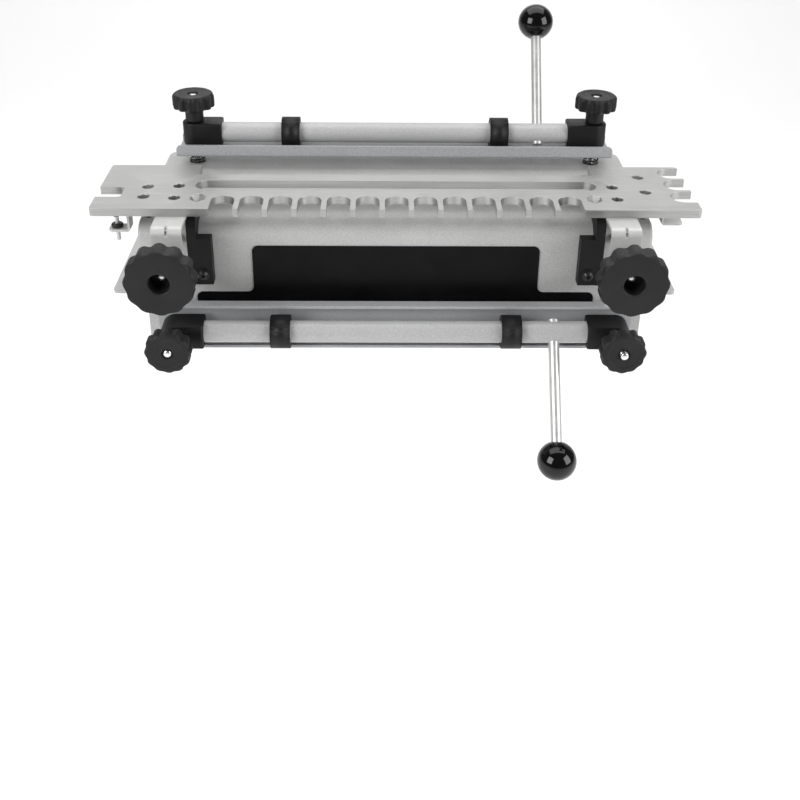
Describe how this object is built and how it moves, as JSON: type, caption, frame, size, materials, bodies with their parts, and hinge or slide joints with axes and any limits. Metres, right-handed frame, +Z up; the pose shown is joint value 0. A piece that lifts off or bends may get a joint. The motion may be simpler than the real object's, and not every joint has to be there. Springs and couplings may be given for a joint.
{
  "type": "dovetail jig",
  "caption": "Half-blind dovetail jig: folded base, top and front cam clamps with ball levers, and a slotted finger template on height-adjustable brackets.",
  "frame": {"origin": "centre of the four bench holes, on the underside of the feet", "axes": "+X along the jig to the user's right, -Y toward the user, +Z up"},
  "size_m": [0.464, 0.3132, 0.2988],
  "materials": {
    "base_paint": "light warm grey powder coat with a fine metallic speckle",
    "bar_paint": "smooth bluish grey paint",
    "tube_paint": "grey paint, semi-gloss",
    "label_black": "glossy black, blank",
    "black_plastic": "black moulded plastic, satin",
    "knob_black": "black moulded plastic with a fine texture",
    "ball_black": "polished black phenolic",
    "machined_aluminium": "milled faces with fine tool lines",
    "bracket_aluminium": "blasted light grey sheet",
    "bright_steel": "drawn bar, satin",
    "zinc_steel": "bright zinc plate",
    "black_steel": "black oxide",
    "spring_black": "black oiled spring wire"
  },
  "bodies": {
    "base": {"base_shell": "base_paint", "nameplate": "label_black", "stop_screws": "black_steel", "stop_washers": "black_steel", "top_studs": "zinc_steel", "front_stud_left": "zinc_steel", "front_stud_right": "zinc_steel", "template_studs": "zinc_steel", "top_springs": "spring_black", "front_springs": "spring_black"},
    "side_stop_left": {"stop_left": "black_plastic"},
    "side_stop_right": {"stop_right": "black_plastic"},
    "reach_nuts": {"template_stop_nuts": "zinc_steel"},
    "template": {"template_plate": "machined_aluminium", "template_bracket_left": "bracket_aluminium", "template_bracket_right": "bracket_aluminium", "bracket_screws": "black_steel", "gauge_clip_left": "bracket_aluminium", "gauge_clip_right": "bracket_aluminium", "gauge_lock_nut": "black_steel", "gauge_clip_screws": "black_steel"},
    "depth_gauge": {"gauge_screw": "bright_steel"},
    "template_wheel_left": {"template_knob_left": "knob_black"},
    "template_wheel_right": {"template_knob_right": "knob_black"},
    "top_carriage": {"top_block_left": "black_plastic", "top_block_right": "black_plastic"},
    "top_lever": {"top_cam_tube": "tube_paint", "top_cam_left": "black_plastic", "top_cam_right": "black_plastic", "top_lever_rod": "bright_steel", "top_lever_ball": "ball_black"},
    "top_bar": {"top_clamp_bar": "bar_paint"},
    "top_screw_knob_left": {"top_knob_left": "knob_black"},
    "top_screw_knob_right": {"top_knob_right": "knob_black"},
    "front_carriage": {"front_block_left": "black_plastic", "front_block_right": "black_plastic"},
    "front_lever": {"front_cam_tube": "tube_paint", "front_cam_left": "black_plastic", "front_cam_right": "black_plastic", "front_lever_rod": "bright_steel", "front_lever_ball": "ball_black"},
    "front_bar": {"front_clamp_bar": "bar_paint"},
    "front_screw_knob_left": {"front_knob_left": "knob_black"},
    "front_screw_knob_right": {"front_knob_right": "knob_black"}
  },
  "joints": [
    {"name": "side_stop_left_slide", "type": "slide", "parent": "base", "child": "side_stop_left", "axis": [1, 0, 0], "range_m": [-0.0015, 0.0015]},
    {"name": "side_stop_right_slide", "type": "slide", "parent": "base", "child": "side_stop_right", "axis": [1, 0, 0], "range_m": [-0.0015, 0.0015]},
    {"name": "template_reach", "type": "slide", "parent": "base", "child": "reach_nuts", "axis": [0, -1, 0], "range_m": [-0.004, 0.004]},
    {"name": "template_height", "type": "slide", "parent": "reach_nuts", "child": "template", "axis": [0, 0, 1], "range_m": [-0.002, 0.022]},
    {"name": "depth_gauge_turn", "type": "hinge", "parent": "template", "child": "depth_gauge", "pos_m": [-0.218, -0.0775, 0.07], "axis": [0, 0, 1], "continuous": true},
    {"name": "template_wheel_left_turn", "type": "hinge", "parent": "reach_nuts", "child": "template_wheel_left", "pos_m": [-0.171, -0.146, 0.0621], "axis": [0, -1, 0], "continuous": true},
    {"name": "template_wheel_right_turn", "type": "hinge", "parent": "reach_nuts", "child": "template_wheel_right", "pos_m": [0.171, -0.146, 0.0621], "axis": [0, -1, 0], "continuous": true},
    {"name": "top_carriage_slide", "type": "slide", "parent": "base", "child": "top_carriage", "axis": [0, 0, 1], "range_m": [-0.005, 0.015], "deforming": ["top_springs"]},
    {"name": "top_knob_left_turn", "type": "hinge", "parent": "top_carriage", "child": "top_screw_knob_left", "pos_m": [-0.1738, 0.0515, 0.0982], "axis": [0, 0, 1], "range_deg": [-1419, 4253]},
    {"name": "top_knob_right_turn", "type": "hinge", "parent": "top_carriage", "child": "top_screw_knob_right", "pos_m": [0.1738, 0.0515, 0.0982], "axis": [0, 0, 1], "range_deg": [-1419, 4253]},
    {"name": "top_bar_slide", "type": "slide", "parent": "top_carriage", "child": "top_bar", "axis": [0, 0, -1], "range_m": [0, 0.0026]},
    {"name": "top_lever_swing", "type": "hinge", "parent": "top_carriage", "child": "top_lever", "pos_m": [0.1244, 0.0515, 0.0982], "axis": [-1, 0, 0], "range_deg": [-0.1, 66.7]},
    {"name": "front_carriage_slide", "type": "slide", "parent": "base", "child": "front_carriage", "axis": [0, -1, 0], "range_m": [-0.006, 0.015], "deforming": ["front_springs"]},
    {"name": "front_knob_left_turn", "type": "hinge", "parent": "front_carriage", "child": "front_screw_knob_left", "pos_m": [-0.1738, -0.1132, -0.0071], "axis": [0, -1, 0], "range_deg": [-1702, 4253]},
    {"name": "front_knob_right_turn", "type": "hinge", "parent": "front_carriage", "child": "front_screw_knob_right", "pos_m": [0.1738, -0.1132, -0.0071], "axis": [0, -1, 0], "range_deg": [-1702, 4253]},
    {"name": "front_bar_slide", "type": "slide", "parent": "front_carriage", "child": "front_bar", "axis": [0, 1, 0], "range_m": [-0.00071, 0.00189]},
    {"name": "front_lever_swing", "type": "hinge", "parent": "front_carriage", "child": "front_lever", "pos_m": [0.1244, -0.1132, -0.0071], "axis": [1, 0, 0], "range_deg": [-18.3, 48.5]}
  ],
  "couplings": [
    {"joint": "top_knob_left_turn", "follows": "top_carriage_slide", "rad_per_m": 4947.4},
    {"joint": "top_knob_right_turn", "follows": "top_carriage_slide", "rad_per_m": 4947.4},
    {"joint": "top_lever_swing", "follows": "top_bar_slide", "rad_per_m": 446.43},
    {"joint": "front_knob_left_turn", "follows": "front_carriage_slide", "rad_per_m": 4947.4},
    {"joint": "front_knob_right_turn", "follows": "front_carriage_slide", "rad_per_m": 4947.4},
    {"joint": "front_lever_swing", "follows": "front_bar_slide", "rad_per_m": 446.43}
  ]
}
